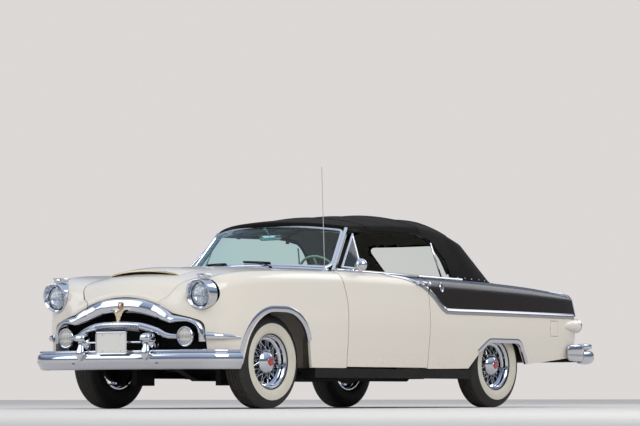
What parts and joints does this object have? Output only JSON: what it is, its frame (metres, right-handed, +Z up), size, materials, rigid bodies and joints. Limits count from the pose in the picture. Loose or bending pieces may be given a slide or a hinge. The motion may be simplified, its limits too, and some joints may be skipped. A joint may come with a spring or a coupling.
{
  "type": "convertible car",
  "caption": "Two-door convertible car of the early 1950s with its soft top raised, wire wheels, opening doors, hood and deck lid.",
  "frame": {"origin": "on the ground below the middle of the car's overall length and width", "axes": "+X points to the front of the car, +Y to its left side and +Z up"},
  "size_m": [5.54, 2.012, 1.9],
  "materials": {
    "body_paint": "cream white gloss enamel",
    "chassis_black": "black chassis paint",
    "floor_black": "black paint with carpet",
    "chrome_trim": "polished chrome plate",
    "wheel_chrome": "polished chrome plate",
    "tyre_rubber": "black rubber with wide white sidewalls",
    "clear_glass": "lightly tinted clear glass",
    "engine_iron": "painted cast iron",
    "seat_leather": "pale leather",
    "dash_paint": "dark satin enamel",
    "wheel_plastic": "cream plastic",
    "top_cloth": "black woven top cloth",
    "plate_metal": "blank white plate"
  },
  "bodies": {
    "root": {"frame": "chassis_black", "floor": "floor_black", "bulkhead": "floor_black", "sills": "chassis_black", "cowl": "body_paint", "inner_fenders": "chassis_black", "front_fender_left": "body_paint", "front_fender_right": "body_paint", "quarter_left": "body_paint", "quarter_right": "body_paint", "deck_panel": "body_paint", "tail_panel": "body_paint", "grille": "chrome_trim", "radiator": "chassis_black", "front_bumper": "chrome_trim", "rear_bumper": "chrome_trim", "headlamp_rims": "chrome_trim", "parking_lamps": "chrome_trim", "lamp_lenses": "clear_glass", "licence_plate": "plate_metal", "engine": "engine_iron", "transmission": "engine_iron", "rear_axle": "chassis_black", "leaf_springs": "chassis_black", "front_arms": "chassis_black", "fuel_tank": "chassis_black", "dashboard": "dash_paint", "front_seat": "seat_leather", "rear_seat": "seat_leather", "steering_column": "chassis_black", "windshield_frame": "chrome_trim", "windshield_glass": "clear_glass", "soft_top": "top_cloth", "top_bows": "chassis_black", "antenna": "chrome_trim", "tail_lamps": "chrome_trim"},
    "fuel_door": {"fuel_door": "body_paint"},
    "hood": {"hood": "body_paint"},
    "deck_lid": {"deck_lid": "body_paint"},
    "door_left": {"door_left": "body_paint", "vent_left": "chrome_trim", "vent_glass_left": "clear_glass"},
    "door_right": {"door_right": "body_paint", "vent_right": "chrome_trim", "vent_glass_right": "clear_glass"},
    "knuckle_left": {"knuckle_left": "chassis_black"},
    "knuckle_right": {"knuckle_right": "chassis_black"},
    "steering_wheel": {"steering_wheel": "wheel_plastic"},
    "wheel_front_left": {"wheel_front_left": "wheel_chrome", "tyre_front_left": "tyre_rubber"},
    "wheel_front_right": {"wheel_front_right": "wheel_chrome", "tyre_front_right": "tyre_rubber"},
    "wheel_rear_left": {"wheel_rear_left": "wheel_chrome", "tyre_rear_left": "tyre_rubber"},
    "wheel_rear_right": {"wheel_rear_right": "wheel_chrome", "tyre_rear_right": "tyre_rubber"}
  },
  "joints": [
    {"name": "steer_left", "type": "hinge", "parent": "root", "child": "knuckle_left", "pos_m": [1.885, 0.65, 0.36], "axis": [0, 0, 1], "range_deg": [-30, 30]},
    {"name": "steer_right", "type": "hinge", "parent": "root", "child": "knuckle_right", "pos_m": [1.885, -0.65, 0.36], "axis": [0, 0, 1], "range_deg": [-30, 30]},
    {"name": "steering_turn", "type": "hinge", "parent": "root", "child": "steering_wheel", "pos_m": [0.638, 0.4, 1.049], "axis": [-0.866, 0, 0.5], "range_deg": [-600, 600]},
    {"name": "door_left_swing", "type": "hinge", "parent": "root", "child": "door_left", "pos_m": [1.113, 0.94, 0.7], "axis": [0, 0, -1], "range_deg": [0, 65]},
    {"name": "door_right_swing", "type": "hinge", "parent": "root", "child": "door_right", "pos_m": [1.113, -0.94, 0.7], "axis": [0, 0, 1], "range_deg": [0, 65]},
    {"name": "hood_lift", "type": "hinge", "parent": "root", "child": "hood", "pos_m": [1.137, 0, 1.05], "axis": [0, -1, 0], "range_deg": [0, 50]},
    {"name": "deck_lid_lift", "type": "hinge", "parent": "root", "child": "deck_lid", "pos_m": [-1.967, 0, 1.03], "axis": [0, 1, 0], "range_deg": [0, 60]},
    {"name": "fuel_door_swing", "type": "hinge", "parent": "root", "child": "fuel_door", "pos_m": [-1.977, 0.93, 0.6825], "axis": [0, 0, -1], "range_deg": [0, 80]},
    {"name": "spin_front_left", "type": "hinge", "parent": "knuckle_left", "child": "wheel_front_left", "pos_m": [1.885, 0.764, 0.36], "axis": [0, 1, 0], "continuous": true},
    {"name": "spin_front_right", "type": "hinge", "parent": "knuckle_right", "child": "wheel_front_right", "pos_m": [1.885, -0.764, 0.36], "axis": [0, 1, 0], "continuous": true},
    {"name": "spin_rear_left", "type": "hinge", "parent": "root", "child": "wheel_rear_left", "pos_m": [-1.214, 0.772, 0.36], "axis": [0, 1, 0], "continuous": true},
    {"name": "spin_rear_right", "type": "hinge", "parent": "root", "child": "wheel_rear_right", "pos_m": [-1.214, -0.772, 0.36], "axis": [0, 1, 0], "continuous": true}
  ],
  "couplings": [
    {"joint": "steer_right", "follows": "steer_left", "ratio": 1},
    {"joint": "steering_turn", "follows": "steer_left", "ratio": 20}
  ]
}
